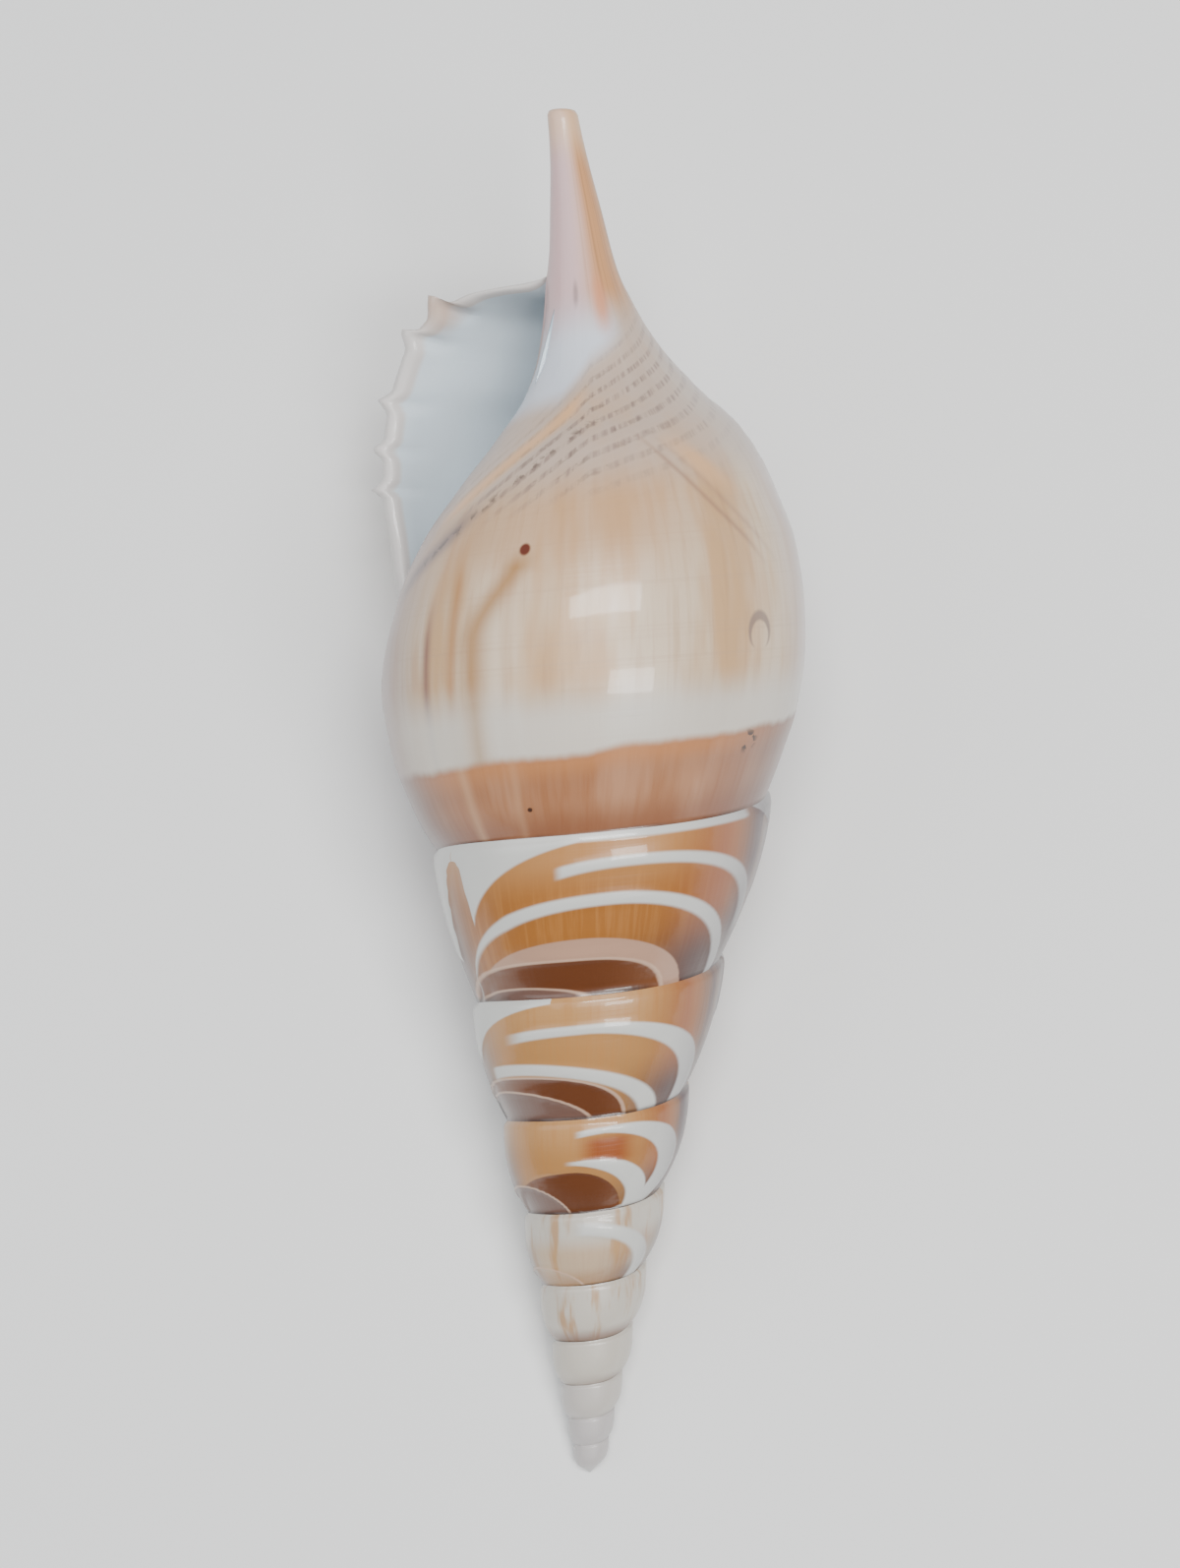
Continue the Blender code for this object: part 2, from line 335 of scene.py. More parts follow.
@rule("NodeSocketVector", 1)
def tooth_offset(turn, place):
    """Way that a tooth points: square to the lip's edge, in the plane that faces +Z."""
    low, high = ([along(BODY_LIP, which, place + step) for which in (0, 1)] for step in (-0.15, 0.15))
    edge_up = high[0] - low[0]
    edge_out = (high[1] - low[1]) * math.sin(math.radians(240))
    length = (edge_up * edge_up + edge_out * edge_out) ** 0.5
    reach = tooth_reach(place) / length
    return combine(place.tree, edge_up * reach * -1, edge_out * reach)


def toward(point, middle, distance):
    """Point moved toward the middle of the hollow, by at most two fifths of the gap."""
    gap = vector_math("DISTANCE", point, middle, "Value")
    return between(point, middle, (distance / gap).least(0.8))


@rule("NodeSocketVector", 1)
def outer_side(turn, place):
    return coil(turn, body_outline(turn, place))


@rule("NodeSocketVector", 1)
def inner_side(turn, place):
    return coil(turn - 1, hidden_outline(turn - 1, place))


@rule("NodeSocketVector", 1)
def hollow_outside(turn, place):
    """Inside of the outer wall, thicker by the lip."""
    size = turn.tree.sizes
    wall = lerp(size["Lip wall"], size["Whorl wall"], (LIP_TURN - turn).ramp(0, 0.2))
    point = outer_side(turn, place)
    across = inner_side(turn, 3 + 0.7 * place)
    return toward(point, between(point, across, 0.5), wall)


@rule("NodeSocketVector", 1)
def hollow_inside(turn, place):
    """The columella's side, which starts flush with the face that the aperture shows."""
    callus = turn.tree.sizes["Callus"] * (LIP_TURN - turn).ramp(0, 0.05)
    point = inner_side(turn, place)
    across = outer_side(turn, (place - 3) / 0.7)
    return toward(point, between(point, across, 0.5), callus)


WALL_FROM = 0.36
WALL_TO = 9.6


@rule("NodeSocketVector", 1)
def hollow_wall(turn, place):
    """Inside of the outer wall with the strips that join it to the columella's side."""
    wall = hollow_outside(turn, place.most(WALL_FROM).least(WALL_TO))
    start = hollow_inside(turn, place * 0 + 3)
    end = hollow_inside(turn, place * 0 + 10)
    return between(between(start, wall, place.ramp(0, WALL_FROM)), end, place.ramp(WALL_TO, 10))


def row_place(rows):
    """Place of a row, counted from the suture."""
    return ((rows.least(SIDE_ROWS)) * (3 / SIDE_ROWS)
            + (rows - SIDE_ROWS).most(0).least(BASE_ROWS) * (7 / BASE_ROWS)
            + (rows - SIDE_ROWS - BASE_ROWS).most(0) * (4 / CANAL_ROWS))


shell_group, growth, _ = new_group("grow_shell", [], [("Geometry", "NodeSocketGeometry")])


def sheet_of(columns, rows, shape, flip=False):
    """A grid laid over one surface. shape gives its point, turn and place from column and row."""
    grid = growth.add("GeometryNodeMeshGrid", inputs={
        "Size X": 1.0, "Size Y": 1.0, "Vertices X": columns + 1, "Vertices Y": rows + 1})
    here = growth.add("GeometryNodeInputPosition")
    across, up = (growth.add("ShaderNodeSeparateXYZ", inputs={0: here}, out=axis) for axis in (0, 1))
    point, turn, place = shape((across + 0.5) * columns, (up + 0.5) * rows)
    mapped = growth.add("GeometryNodeStoreNamedAttribute", {"data_type": "FLOAT2", "domain": "CORNER"},
                        {"Geometry": grid, "Name": "shell_map", "Value": combine(growth, turn, place)})
    placed = growth.add("GeometryNodeSetPosition", inputs={"Geometry": mapped, "Position": point})
    return growth.add("GeometryNodeFlipFaces", inputs={"Mesh": placed}) if flip else placed


def carved(whorl, number):
    """1 on one whorl of the spire, counted back from the last one."""
    return (whorl > number - 0.5) * (whorl < number + 0.5)


def bow(s, t, centre, reach, rise, power=2):
    """How far out a point lies from a bow's middle: 1 on the bow, less inside it."""
    half = lerp(reach[0], reach[1], s > centre[0])
    out = ((s - centre[0]) / half).size() ** power + ((t - centre[1]).size() / rise) ** power
    return out ** (1 / power)


def stripe(out, rise, half_width, soft):
    """1 along a bow's line, within half its width, measured up the whorl."""
    return ((out - 1).size() * rise).step(half_width + soft, half_width - soft)


def carving(turn, place, soft):
    """The spire's carving, as masks: white lines, pale facets, dark lenses, and the ridges along their
    crests that carry a painted highlight.

    The figure repeats each half turn. s runs from 0 to 1 over it and t from the suture to the
    next one.
    """
    s = (2 * turn).math("FRACT")
    whorl = turn.math("FLOOR")
    t = place / 3
    on = {number: carved(whorl, number) for number in (-1, -2, -3, -4)}

    field_edge = bow(s, t, (0.58, 0.25), (0.38, 0.38), 0.73)
    tongue = ((s - 0.155 - 0.03 * t).size() / (0.07 * (0.9 - t).most(0) ** 0.35 + 0.001)).step(1.05, 0.95)
    low_left = (t + 0.9 * s).step(0.36 + soft, 0.36 - soft)
    field = field_edge.step(1 - soft, 1 + soft) * (s < 0.58) * (1 - tongue) * (1 - low_left)
    field = field.most(t.step(0.955 - soft, 0.955 + soft) * s.step(0.85, 0.82))
    field = field.most((t + 1.6 * (s - 0.86)).step(1.0, 1.0 + soft) * s.step(0.82, 0.86))
    high_line = bow(s, t, (0.58, 0.25), (0.315, 0.315), 0.57, 2.2)
    high_line = stripe(high_line, 0.57, 0.032, soft) * s.step(0.44 - soft, 0.44 + soft) * t.step(0.2, 0.34)
    mid_line = bow(s, t, (0.54, -0.05), (0.40, 0.31), 0.65)
    mid_line = stripe(mid_line, 0.65, 0.036 * s.ramp(0.15, 0.32), soft)
    facet_edge = bow(s, t, (0.49, -0.10), (0.34, 0.255), 0.465)
    crest = bow(s, t, (0.46, -0.10), (0.37, 0.228), 0.335, 2.6)
    low_facet = bow(s, t, (0.31, -0.06), (0.21, 0.21), 0.13)
    white = on[-1] * field.most(high_line).most(mid_line)
    facet = on[-1] * facet_edge.step(1 + soft, 1 - soft)
    lens = on[-1] * crest.step(1 + soft, 1 - soft)
    facet_low = on[-1] * low_facet.step(1 + 3 * soft, 1 - 3 * soft)
    line = on[-1] * stripe(crest, 0.335, 0.008, 0.006).most(stripe(low_facet, 0.13, 0.006, 0.006))

    corner = bow(s, t, (0.50, 0.40), (0.42, 0.42), 0.58)
    corner = corner.step(1 - soft, 1 + soft) * (s < 0.4) * t.step(0.45, 0.6)
    high_line = bow(s, t, (0.50, 0.12), (0.56, 0.335), 0.625)
    high_line = stripe(high_line, 0.625, 0.036 + 0.035 * s.ramp(0.5, 0.8), soft) * s.step(0.24, 0.32)
    mid_line = bow(s, t, (0.30, -0.10), (0.40, 0.41), 0.54)
    mid_line = stripe(mid_line, 0.54, 0.045, soft) * s.step(0.15, 0.19)
    crest = bow(s, t, (0.30, -0.10), (0.35, 0.32), 0.47, 2.4)
    low_facet = bow(s, t, (0.20, -0.15), (0.33, 0.33), 0.40)
    white = white.most(on[-2] * corner.most(high_line).most(mid_line))
    lens = lens.most(on[-2] * crest.step(1 + soft, 1 - soft))
    facet_low = facet_low.most(on[-2] * low_facet.step(1 + soft, 1 - soft))
    line = line.most(on[-2] * stripe(crest, 0.47, 0.008, 0.006).most(stripe(low_facet, 0.40, 0.008, 0.006)))

    high_line = bow(s, t, (0.56, 0.42), (0.30, 0.25), 0.46)
    high_line = stripe(high_line, 0.46, 0.03 + 0.07 * s.ramp(0.55, 0.8), soft) * s.step(0.44, 0.48)
    leaf = bow(s, t, (0.45, 0.12), (0.30, 0.24), 0.44)
    leaf = stripe(leaf, 0.44, 0.02 + 0.06 * s.ramp(0.45, 0.62), soft) * s.step(0.40, 0.46)
    crest = bow(s, t, (0.44, -0.10), (0.36, 0.20), 0.56)
    low_facet = bow(s, t, (0.18, -0.15), (0.26, 0.24), 0.46)
    white = white.most(on[-3] * high_line.most(leaf))
    facet_low = facet_low.most(on[-3] * low_facet.step(1 + soft, 1 - soft))
    lens = lens.most(on[-3] * crest.step(1 + soft, 1 - soft))
    line = line.most(on[-3] * stripe(low_facet, 0.46, 0.01, 0.008))
    patch = on[-3] * (s - 0.56).size().step(0.12, 0.03) * (t - 0.67).size().step(0.20, 0.08)

    sail = bow(s, t, (0.45, 0.20), (0.32, 0.32), 0.60)
    low_facet = bow(s, t, (0.22, -0.15), (0.30, 0.26), 0.42)
    white = white.most(on[-4] * stripe(sail, 0.60, 0.08, 2 * soft) * s.step(0.42, 0.48))
    line = line.most(on[-4] * stripe(low_facet, 0.42, 0.012, 0.010))
    ground = on[-1].most(on[-2]).most(on[-3]).most(on[-4] * t.step(0.75, 0.45) * 0.55)
    return {"s": s, "t": t, "on": on, "white": white, "facet": facet, "lens": lens,
            "facet_low": facet_low, "line": line, "patch": patch, "ground": ground}


@rule("NodeSocketFloat", 1)
def relief(turn, place):
    """How far the surface stands out, in millimetres: growth ripples, cords and the carving."""
    marks = carving(turn, place, 0.02)
    cut = marks["white"] * 0.55 - marks["facet"] * 0.5 - marks["lens"] * 0.7 - marks["facet_low"] * 0.25
    cut = cut + marks["line"] * 0.5
    size = turn.tree.sizes
    ripple_map = combine(turn.tree, turn * 46, place * 0.35)
    ripple = turn.tree.add("ShaderNodeTexNoise", {"noise_dimensions": "2D"},
                        {"Vector": ripple_map, "Scale": 1.0, "Detail": 3.0, "Roughness": 0.6})
    slant = place - 12.5 * turn.least(0.25 + (turn - 0.25) * 0.35)
    cords = (slant * (math.tau * 3.2)).math("SINE") * place.step(5.1, 5.8) * place.step(7.6, 7.0)
    cords = cords * turn.step(0.02, 0.1) * turn.step(0.75, 0.6)
    body = turn > BODY_TURN
    rough = (ripple - 0.5) * size["Growth ripple"] * (0.4 + 1.6 * place.step(2.0, 9.0) * body)
    seams = lerp((3 - place).ramp(0, 0.1), (10 - place).ramp(0, 0.3), body) * place.ramp(0, 0.1)
    seams = seams * (turn - BODY_TURN).size().ramp(0, 0.012) * (turn - FIRST_TURN).ramp(0, 0.05)
    return (size["Carving depth"] * cut + rough + cords * 0.04 * body) * seams


def relieved(turn, place, outline):
    height, radius = outline
    return height, radius + relief(turn, place) * (radius / 4).least(1)


def spire_sheet(columns, rows):
    turn = FIRST_TURN + columns / COLUMNS_PER_TURN
    place = rows * (3 / SIDE_ROWS)
    return coil(turn, relieved(turn, place, spire_outline(turn, place))), turn, place


TIP = (0, -0.7, 0)
TIP_ROWS = 4


def tip_cap(columns, rows):
    """The dome over the first whorl's rim."""
    turn = FIRST_TURN + columns / COLUMNS_PER_TURN
    rim = coil(turn, groove(turn))
    return between(rim, combine(growth, *TIP), rows / TIP_ROWS), turn, rows * 0


def tip_start(columns, rows):
    """The step between the first column and the tip."""
    turn = columns * 0 + FIRST_TURN
    place = columns * (3 / SIDE_ROWS)
    edge = coil(turn, spire_outline(turn, place))
    return between(edge, combine(growth, *TIP), rows / TIP_ROWS), turn, place


def lip_fade(turn):
    """1 at the lip's edge and 0 a little way behind it."""
    return turn.ramp(LIP_TURN - 0.02, LIP_TURN) ** 1.6


def body_sheet(columns, rows):
    turn = BODY_TURN + columns / COLUMNS_PER_TURN
    place = row_place(rows)
    point = coil(turn, relieved(turn, place, body_outline(turn, place)))
    teeth = vector_math("SCALE", tooth_offset(turn, place), lip_fade(turn))
    return vector_math("ADD", point, teeth), turn, place


RIM_ROUND = 0.75
INNER_TOOTH_SHARE = 0.8

# Added to the place on the inside of the lip, and twice on the columella, so that paint can tell
INSIDE = 20


def rim_sheet(columns, rows):
    """The lip's edge, rounded between its outer and its inner side."""
    turn = rows * 0 + LIP_TURN
    place = row_place(rows)
    teeth = tooth_offset(turn, place)
    outer = vector_math("ADD", coil(turn, relieved(turn, place, body_outline(turn, place))), teeth)
    inner_teeth = vector_math("SCALE", teeth, INNER_TOOTH_SHARE * place.ramp(WALL_FROM, 1))
    inner = vector_math("ADD", hollow_wall(turn, place), inner_teeth)
    share = columns / RIM_ROWS
    swell = (share * math.pi).math("SINE").most(0) ** 0.6 * place.ramp(0.2, 1) * place.ramp(9.9, 9.3)
    ahead = combine(growth, math.cos(math.radians(240)), 0.15, -math.sin(math.radians(240)))
    point = between(outer, inner, share)
    return vector_math("ADD", point, vector_math("SCALE", ahead, RIM_ROUND * swell)), turn, place + INSIDE


def depth(columns):
    """Turn of a column of the hollow, from the lip inward."""
    return LIP_TURN - columns * (HOLLOW_TURNS / HOLLOW_COLUMNS)


def narrowed(point, turn):
    """The hollow closes to a point at its deep end."""
    last = LIP_TURN - HOLLOW_TURNS
    middle = between(outer_side(turn, turn * 0 + 5.5), inner_side(turn, turn * 0 + 6.5), 0.5)
    return between(point, middle, turn.ramp(last + 0.05, last))


def hollow_wall_sheet(columns, rows):
    turn = depth(columns)
    place = row_place(rows)
    share = lip_fade(turn) * INNER_TOOTH_SHARE * place.ramp(WALL_FROM, 1)
    teeth = vector_math("SCALE", tooth_offset(turn, place), share)
    point = narrowed(vector_math("ADD", hollow_wall(turn, place), teeth), turn)
    return point, turn, place + INSIDE


def columella_sheet(columns, rows):
    turn = depth(columns)
    place = 3 + rows * (7 / BASE_ROWS)
    return narrowed(hollow_inside(turn, place), turn), turn - 1, place + 2 * INSIDE


spire_columns = round((BODY_TURN - FIRST_TURN) * COLUMNS_PER_TURN)
side_and_base = SIDE_ROWS + BASE_ROWS
surfaces = [
    sheet_of(spire_columns, SIDE_ROWS, spire_sheet),
    sheet_of(COLUMNS_PER_TURN, TIP_ROWS, tip_cap, flip=True),
    sheet_of(SIDE_ROWS, TIP_ROWS, tip_start),
    sheet_of(COLUMNS_PER_TURN, side_and_base + CANAL_ROWS, body_sheet),
    sheet_of(RIM_ROWS, side_and_base, rim_sheet),
    sheet_of(HOLLOW_COLUMNS, side_and_base, hollow_wall_sheet),
    sheet_of(HOLLOW_COLUMNS, BASE_ROWS, columella_sheet, flip=True),
]
WELD = 0.004
joined = growth.add("GeometryNodeJoinGeometry", inputs={"Geometry": surfaces})
closed = growth.add("GeometryNodeMergeByDistance", inputs={"Geometry": joined, "Distance": WELD})
smooth = growth.add("GeometryNodeSetShadeSmooth", inputs={"Geometry": closed})
rolled = growth.add("GeometryNodeTransform", inputs={"Geometry": smooth, "Rotation": (0, REST_ROLL, 0)})
MM = 0.001
sloped = growth.add("GeometryNodeTransform", inputs={"Geometry": rolled, "Rotation": (REST_SLOPE, 0, 0),
                                                     "Scale": (MM, MM, MM)})

# Where the coil's axis starts, in the frame that the shell lies in
TIP_PLACE = Vector((0.001309, -0.067867, 0.000853))
laid = growth.add("GeometryNodeTransform", inputs={"Geometry": sloped, "Translation": TIP_PLACE})
laid_point = growth.add("GeometryNodeInputPosition")
x, y, z = (growth.add("ShaderNodeSeparateXYZ", inputs={0: laid_point}, out=axis) for axis in range(3))
above_floor = combine(growth, x, y, z.most(0))
rested = growth.add("GeometryNodeSetPosition", inputs={"Geometry": laid, "Position": above_floor})


# Above the screen's own 2.2, because the polish adds white to every colour
PAINT_DEPTH = 2.8


def paint(red, green, blue):
    """A colour as it looks on the screen, each part from 0 to 255."""
    return tuple((part / 255) ** PAINT_DEPTH for part in (red, green, blue))


polish = bpy.data.materials.new("polished_shell")
polish.use_nodes = True
polish.node_tree.nodes.clear()
finish = Tree(polish.node_tree)
mapped = finish.add("ShaderNodeUVMap", {"uv_map": "shell_map"})
turn, place = (finish.add("ShaderNodeSeparateXYZ", inputs={0: mapped}, out=axis) for axis in (0, 1))
spot = finish.add("ShaderNodeTexCoord", out="Object")


def over(below, colour, share):
    """A coat of colour over another, where share says."""
    below, colour = (part if isinstance(part, Wire) else (*part, 1) for part in (below, colour))
    return finish.add("ShaderNodeMix", {"data_type": "RGBA"}, {0: share, 6: below, 7: colour}, 2)


def noise(at, scale, detail=3.0):
    return finish.add("ShaderNodeTexNoise", {"noise_dimensions": "3D"},
                      {"Vector": at, "Scale": scale, "Detail": detail, "Roughness": 0.6})


def streaks(across, along_place, seed, detail=3.0):
    """Uneven streaks: across counts them round a turn, along_place breaks them up."""
    return noise(combine(finish, turn * across + seed, place * along_place, seed), 1.0, detail)


def near(value, middle, half, soft):
    """1 within half of the middle, with a soft edge."""
    return (value - middle).size().step(half + soft, half - soft)


def patch(at_turn, at_place, radius, soft=0.3):
    """A round patch on the last whorl, its radius in millimetres."""
    MM_PER_TURN = 138
    MM_PER_PLACE = 6.5
    far = (((turn - at_turn) * MM_PER_TURN) ** 2 + ((place - at_place) * MM_PER_PLACE) ** 2) ** 0.5
    return far.step(radius * (1 + soft), radius * (1 - soft))


mottle = noise(spot, 90.0, 4.0)
specks = noise(spot, 900.0, 2.0)
fine_growth = streaks(150, 0.5, 3.1, 4.0)
broad_growth = streaks(22, 0.25, 7.7)
spiral_lines = noise(combine(finish, turn * 1.5, place * 14, 5.0), 1.0)

# Last whorl: cream with growth and spiral lines, with painted shade and grazing reflection in grey-lilac
# where it turns away
body = over(paint(216, 198, 176), paint(204, 172, 136), broad_growth.step(0.40, 0.64))
body = over(body, paint(184, 150, 118), fine_growth.step(0.48, 0.72) * 0.35)
body = over(body, paint(190, 164, 142), spiral_lines.step(0.52, 0.70) * 0.2)
body = over(body, paint(200, 162, 126), place.step(3.4, 4.9) * turn.step(0.40, 0.28) * 0.6)
# Painted shade and grazing reflection: grey-lilac on the left, where the whorl turns away
body = over(body, paint(152, 126, 124), turn.step(0.135, 0.03) * 0.85)
# Painted shade and grazing reflection: paler grey-lilac over the right side and the back
body = over(body, paint(206, 196, 196), turn.step(0.40, 0.48) * turn.step(0.95, 0.6) * 0.8)

# Growth streaks of ochre and purple-brown on the left of the front
main_streak = near(turn, 0.163 + 0.034 * place.step(3.3, 4.5), 0.009, 0.011) * place.step(4.6, 4.2)
side_streak = near(turn, 0.143, 0.004, 0.006).most(near(turn, 0.19, 0.003, 0.006) * 0.5)
side_streak = side_streak * place.step(4.6, 4.0)
body = over(body, paint(182, 136, 88), side_streak * 0.75)
body = over(body, paint(170, 128, 70), main_streak * 0.85)
body = over(body, paint(130, 82, 76), near(turn, 0.117, 0.003, 0.005) * place.step(4.1, 3.2) * 0.85)

# Milky band, and the brown band between it and the suture
edge = place - 1.47 - 0.62 * turn + 0.05 * (fine_growth - 0.5) + 0.3 * (broad_growth - 0.5)
milky = (place - 1.47 + 0.25 * (broad_growth - 0.5)).step(1.35, 0.65)
body = over(body, paint(212, 208, 200), milky * (1 - 0.5 * main_streak) * turn.step(0.02, 0.12) * 0.85)
brown_streaks = broad_growth.step(0.35, 0.6) * 0.7 + fine_growth.step(0.4, 0.7) * 0.3
brown = over(paint(186, 146, 118), paint(166, 120, 88), brown_streaks)
brown = over(brown, paint(146, 100, 74), place.step(0.8, 0.1) * 0.7)
brown = over(brown, paint(196, 142, 98), near(edge, -0.15, 0.15, 0.25) * 0.7)
# Painted shade: the brown band darker at the left and right, where the whorl turns away
brown = over(brown, paint(112, 84, 82), turn.step(0.14, 0.03).most(turn.step(0.33, 0.46) * 0.75) * 0.85)
brown = over(brown, paint(206, 172, 140), side_streak * 0.5)
body = over(body, brown, edge.step(0.08, -0.10))
body = over(body, paint(96, 72, 62), place.step(0.10, 0.0) * (0.4 + 0.6 * mottle.step(0.4, 0.6)))

# Base of the last whorl: spiral grooves, grime in them and old growth scars
rise = turn.least(0.25 + (turn - 0.25) * 0.35)
slant = place - 5.39 - 12.5 * (rise - 0.154)
front_base = place.step(5.1, 6.0)
grooves = (slant * (math.tau * 3.2) + 5 * mottle).math("SINE")
base = over(body, paint(200, 186, 176), front_base * 0.75)
striae = near(slant, 0.0, 1.1, 0.9) * place.step(4.9, 5.7)
base = over(base, paint(206, 176, 148), striae * mottle.step(0.45, 0.65) * 0.6)
dotted = grooves.step(-0.1, 0.9) * fine_growth.step(0.35, 0.65)
base = over(base, paint(150, 130, 124), striae * dotted * 0.75)
scar_line = turn - 0.327 - (5.625 - place) * 0.045
scar = near(scar_line, 0, 0.002, 0.004).most(near(scar_line, 0.016, 0.002, 0.005) * 0.6)
base = over(base, paint(160, 128, 112), scar * near(place, 5.1, 0.9, 0.4) * 0.7)
beside_scar = near(scar_line, 0.03, 0.012, 0.01) * near(place, 5.6, 0.35, 0.3)
base = over(base, paint(226, 184, 140), beside_scar * 0.7)
base = over(base, paint(130, 114, 116), near(slant, 0.05, 0.18, 0.2) * near(turn, 0.095, 0.04, 0.02) * 0.8)
peach = near(slant, 0.72, 0.18, 0.16) * near(turn, 0.165, 0.07, 0.02)
base = over(base, paint(228, 184, 136), peach * 0.8)
grime_line = near(slant + 0.35 * (mottle - 0.5), 0.0, 0.05, 0.12) * near(turn, 0.16, 0.09, 0.02)
grime = grime_line.most(striae * grooves.step(0.3, 0.8) * near(turn, 0.25, 0.08, 0.08) * 0.4)
base = over(base, paint(92, 78, 70), grime * specks.step(0.50, 0.60) * 0.85)

# Callus by the aperture, and the canal
callus_edge = (slant - 1.05).least(place - 6.95)
callus = callus_edge.step(0, 0.6) * turn.step(0.38, 0.29) * turn.step(0.0, 0.06)
base = over(base, paint(214, 218, 226), callus)
canal = over(paint(212, 184, 184), paint(206, 160, 118), turn.step(0.20, 0.33))
canal_lines = streaks(70, 0.15, 2.2).step(0.5, 0.66) * turn.step(0.22, 0.32)
canal = over(canal, paint(176, 134, 98), canal_lines * 0.6)
canal = over(canal, paint(226, 196, 166), place.step(11.6, 12.6) * 0.7)
base = over(base, canal, place.step(8.3, 9.5))
base = over(base, paint(216, 154, 118), patch(0.30, 9.1, 3.4, 0.8) * 0.8)
base = over(base, paint(120, 108, 104), patch(0.212, 9.36, 1.3, 0.8) * mottle.step(0.4, 0.6) * 0.7)

# Small marks on the last whorl: a red-brown spot, a scratched loop, specks and a dot
base = over(base, paint(110, 44, 22), patch(0.199, 4.51, 0.62) * 0.95)
loop = patch(0.385, 3.16, 1.7, 0.12) * (1 - patch(0.385, 3.10, 1.3, 0.12)) * place.step(2.9, 3.0)
base = over(base, paint(140, 120, 112), loop * 0.8)
base = over(base, paint(60, 48, 44), patch(0.385, 1.455, 1.3, 0.4) * specks.step(0.54, 0.58) * 0.9)
base = over(base, paint(60, 34, 28), patch(0.199, 0.636, 0.3) * 0.9)

# Spire: brown ground cut through to white, darker in the low lenses, with painted shade toward the right
# and the left of each whorl
marks = carving(turn, place, 0.012)
s, t = marks["s"], marks["t"]
ground = over(paint(166, 116, 62), paint(188, 144, 98), t.step(0.55, 0.95))
paler = (marks["on"][-2] * 0.5).most(marks["on"][-3] * 0.45).most(marks["on"][-4])
ground = over(ground, paint(194, 158, 112), paler)
ground = over(ground, paint(186, 138, 86), fine_growth.step(0.45, 0.65) * 0.4)
ground = over(ground, paint(158, 98, 66), near(s, 0.77, 0.06, 0.10) * 0.85)
# Painted shade: purple-brown at the right of each whorl, where it turns away, broken by the growth streaks
ground = over(ground, paint(98, 66, 72), s.step(0.78, 0.90) * (0.65 + 0.35 * broad_growth.step(0.4, 0.6)))
# Painted shade: dark on the lower right of each whorl
ground = over(ground, paint(84, 54, 50), s.step(0.50, 0.78) * t.step(0.55, 0.12) * 0.95)
# Painted shade: darker at the left of each whorl
ground = over(ground, paint(112, 88, 84), s.step(0.24, 0.08) * t.step(1.0, 0.3) * 0.95)
plain = over(paint(200, 194, 184), paint(184, 148, 108), broad_growth.step(0.5, 0.66) * (turn > -5.4) * 0.8)
plain = over(plain, paint(140, 108, 92), t.step(0.30, 0.05) * turn.step(-6.2, -5.2) * 0.8)
plain = over(plain, paint(190, 186, 190), turn.step(-6.0, -7.5) * 0.6)
spire = over(plain, ground, marks["ground"])
spire = over(spire, paint(186, 154, 134), marks["facet"])
lens_colour = over(paint(134, 92, 62), paint(114, 72, 42), s.step(0.1, 0.4) * s.step(0.75, 0.5))
spire = over(spire, lens_colour, marks["lens"])
spire = over(spire, paint(124, 98, 88), marks["facet_low"])
spire = over(spire, paint(156, 92, 42), marks["patch"])
shaded = s.step(0.66, 0.95).most(s.step(0.1, 0.0) * 0.5)
white = over(paint(206, 206, 202), paint(160, 156, 160), shaded * 0.8)
spire = over(spire, white, marks["white"])
# Painted highlight: a pale line along the carved ridges, where their edges catch the light
spire = over(spire, paint(206, 178, 158), marks["line"] * 0.8)
# Painted shade: both sides of each whorl darkened over the brown ground
side_shade = s.step(0.10, 0.0).most(s.step(0.80, 0.97)) * marks["ground"]
spire = over(spire, paint(74, 54, 60), side_shade * 0.55)
spire = over(spire, paint(70, 52, 44), t.step(0.045, 0.0) * mottle.step(0.30, 0.55) * turn.step(-7.5, -5.5))
colour = over(spire, base, turn > BODY_TURN)

# Inside of the lip: bluish porcelain white, with painted shade making it darker away from the edge, and a
# pink-tan rim
# Painted shade: darker deeper in the aperture, away from the lip's edge
inside = over(paint(216, 226, 232), paint(176, 192, 202), (LIP_TURN - turn).step(0.03, 0.22))
inside = over(inside, paint(214, 206, 200), (turn - LIP_TURN).step(-0.006, -0.001) * 0.8)
knob = near(place, INSIDE + 8.4, 0.2, 0.5) * (turn - LIP_TURN).step(-0.02, -0.004)
inside = over(inside, paint(196, 162, 136), knob * 0.8)
colour = over(colour, inside, place > INSIDE - 1)
colour = over(colour, paint(204, 208, 214), place > 2 * INSIDE - 1)

height = fine_growth * 0.5 + spiral_lines * 0.3 + mottle * 0.2
bump = finish.add("ShaderNodeBump", inputs={"Height": height, "Strength": 0.12, "Distance": 0.0004})
surface = finish.add("ShaderNodeBsdfPrincipled", inputs={
    "Base Color": colour, "Roughness": 0.26 + 0.16 * mottle + 0.12 * front_base, "Normal": bump,
    "Coat Weight": 0.4, "Coat Roughness": 0.06, "IOR": 1.5})
output = polish.node_tree.nodes.new("ShaderNodeOutputMaterial")
polish.node_tree.links.new(surface.socket, output.inputs["Surface"])

coated = growth.add("GeometryNodeSetMaterial", inputs={
    "Geometry": growth.add("GeometryNodeRealizeInstances", inputs={"Geometry": rested}),
    "Material": polish})
growth.add_output({"Geometry": coated})

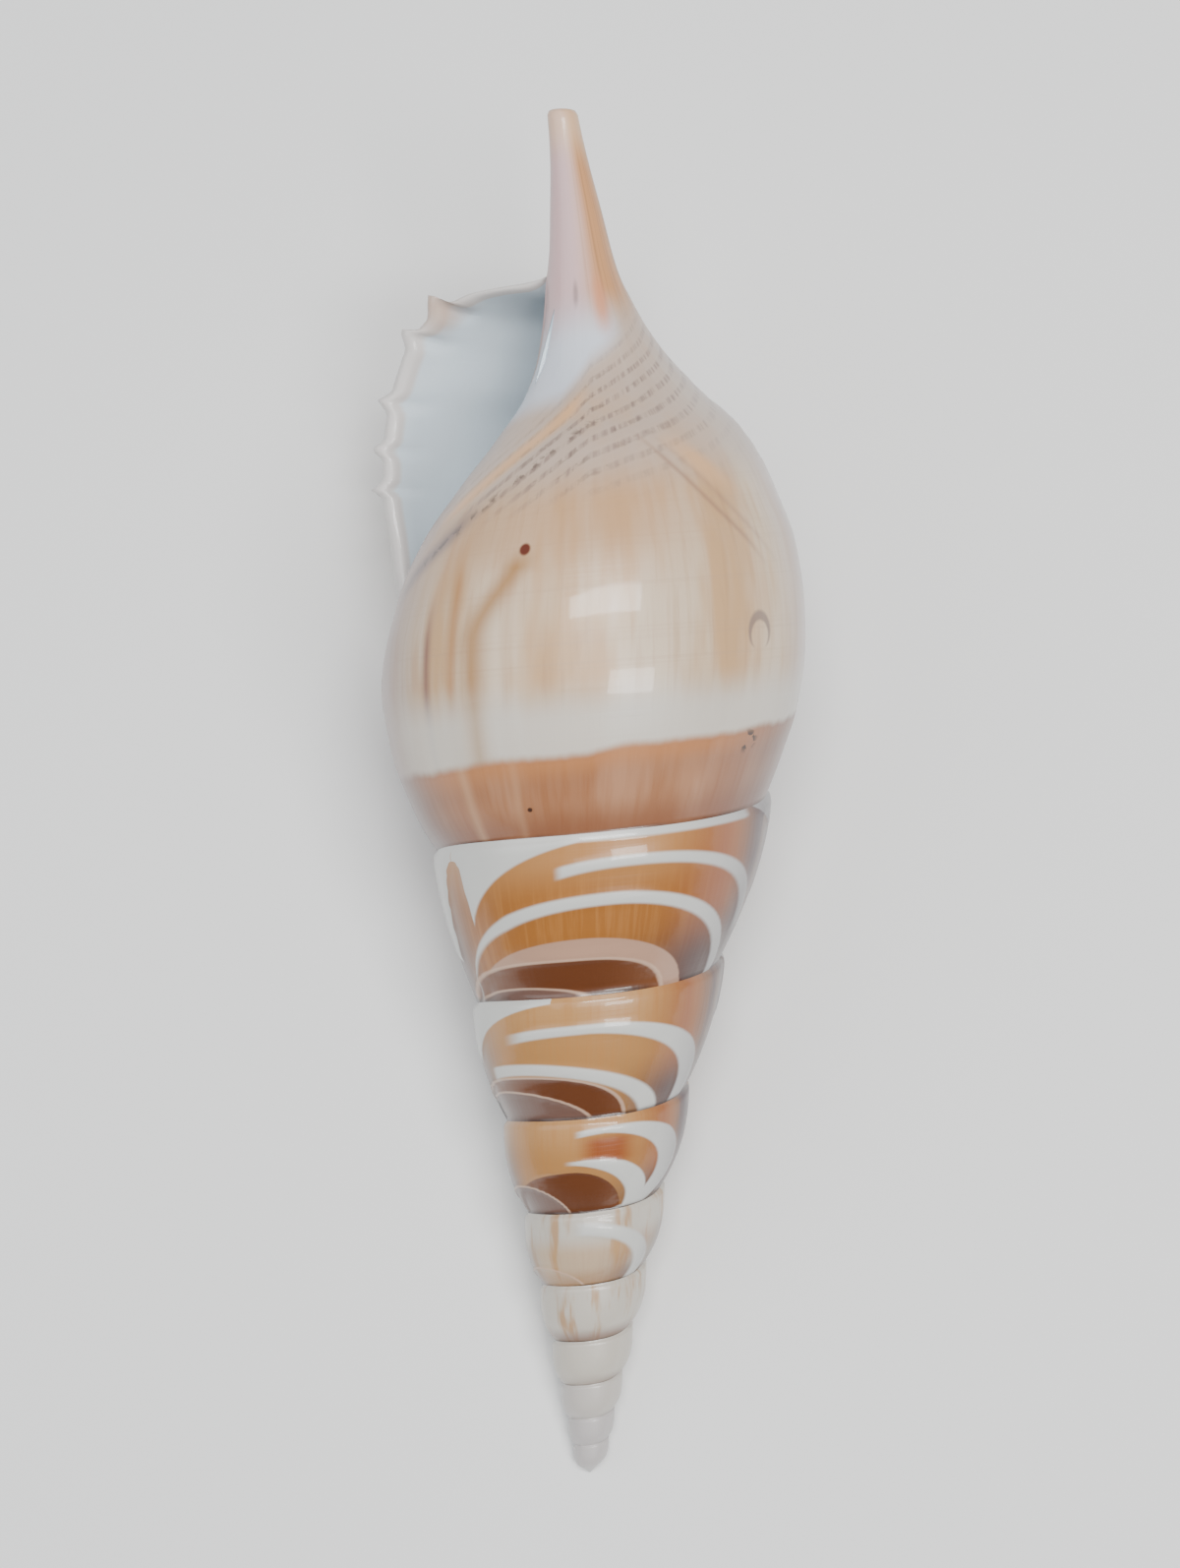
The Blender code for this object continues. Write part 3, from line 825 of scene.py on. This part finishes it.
seed_mesh = bpy.data.meshes.new("shell_seed")
grower = bpy.data.objects.new("shell_seed", seed_mesh)
bpy.context.scene.collection.objects.link(grower)
grow = grower.modifiers.new("grow", "NODES")
grow.node_group = shell_group
for item in shell_group.interface.items_tree:
    if item.name in SHELL_SIZES:
        grow[item.identifier] = SHELL_SIZES[item.name]
grown = grower.evaluated_get(bpy.context.evaluated_depsgraph_get())
shell_mesh = bpy.data.meshes.new_from_object(grown)
shell_mesh.name = "shell"
grower.modifiers.remove(grow)
bpy.data.objects.remove(grower)
shell = bpy.data.objects.new("shell", shell_mesh)
bpy.context.scene.collection.objects.link(shell)
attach(shell, "root")
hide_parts("tibia_shell")


# Floor
# A plain pale sheet that the shell lies on.
FLOOR_HALF = 1.5
floor_mesh = bpy.data.meshes.new("floor")
floor_mesh.from_pydata([(-FLOOR_HALF, -FLOOR_HALF, 0), (FLOOR_HALF, -FLOOR_HALF, 0),
                        (FLOOR_HALF, FLOOR_HALF, 0), (-FLOOR_HALF, FLOOR_HALF, 0)], [], [(0, 1, 2, 3)])
floor = bpy.data.objects.new("floor", floor_mesh)
bpy.context.scene.collection.objects.link(floor)
pale = bpy.data.materials.new("pale_paper")
pale.use_nodes = True
pale.node_tree.nodes["Principled BSDF"].inputs["Base Color"].default_value = (0.80, 0.80, 0.79, 1)
pale.node_tree.nodes["Principled BSDF"].inputs["Roughness"].default_value = 0.9
floor_mesh.materials.append(pale)


# Camera
# It looks straight down on the shell's front from about 23 cm, with the canal at the top.
VIEW_HEIGHT = 0.0714
VIEW_DISTANCE = 0.2337
VIEW_LEAN = math.radians(2.5)
laid_turn = Matrix.Rotation(REST_SLOPE, 3, "X") @ Matrix.Rotation(REST_ROLL, 3, "Y")
aim = TIP_PLACE + laid_turn @ Vector((0, VIEW_HEIGHT, 0))
back = laid_turn @ Vector((0, math.sin(VIEW_LEAN), math.cos(VIEW_LEAN)))
side = (laid_turn @ Vector((0, 1, 0))).cross(back).normalized()
optics = bpy.data.cameras.new("camera")
optics.sensor_fit = "VERTICAL"
optics.sensor_height = 24
optics.lens = 34.63
camera = bpy.data.objects.new("camera", optics)
facing = Matrix((side, back.cross(side), back)).transposed().to_4x4()
camera.matrix_world = Matrix.Translation(aim + back * VIEW_DISTANCE) @ facing
bpy.context.scene.collection.objects.link(camera)
bpy.context.scene.camera = camera


# Light
# Soft light from a panel above, a cooler one on the left and two windows, whose reflections
# show on the last whorl.
def panel(name, toward_panel, distance, width, height, power, colour=(1, 1, 1)):
    light = bpy.data.lights.new(name, "AREA")
    light.shape = "RECTANGLE"
    light.size = width
    light.size_y = height
    light.energy = power
    light.color = colour
    lamp = bpy.data.objects.new(name, light)
    direction = (laid_turn @ Vector(toward_panel)).normalized()
    across = (laid_turn @ Vector((0, 1, 0))).cross(direction).normalized()
    facing = Matrix((across, direction.cross(across), direction)).transposed().to_4x4()
    lamp.matrix_world = Matrix.Translation(aim + direction * distance) @ facing
    bpy.context.scene.collection.objects.link(lamp)


panel("window_left", (0.07, 0.36, 0.85), 0.7, 0.45, 0.11, 3.5)
panel("window_right", (0.34, -0.13, 0.90), 0.7, 0.30, 0.14, 2.6)
panel("room_left", (-0.9, 0.2, 0.7), 0.9, 0.7, 0.7, 2.5, (0.90, 0.95, 1.0))
panel("ceiling", (0.0, 0.15, 1.0), 1.2, 0.8, 0.8, 7.0)
world = bpy.data.worlds.new("room")
world.use_nodes = True
world.node_tree.nodes["Background"].inputs["Color"].default_value = (0.9, 0.95, 1.0, 1)
world.node_tree.nodes["Background"].inputs["Strength"].default_value = 0.2
bpy.context.scene.world = world
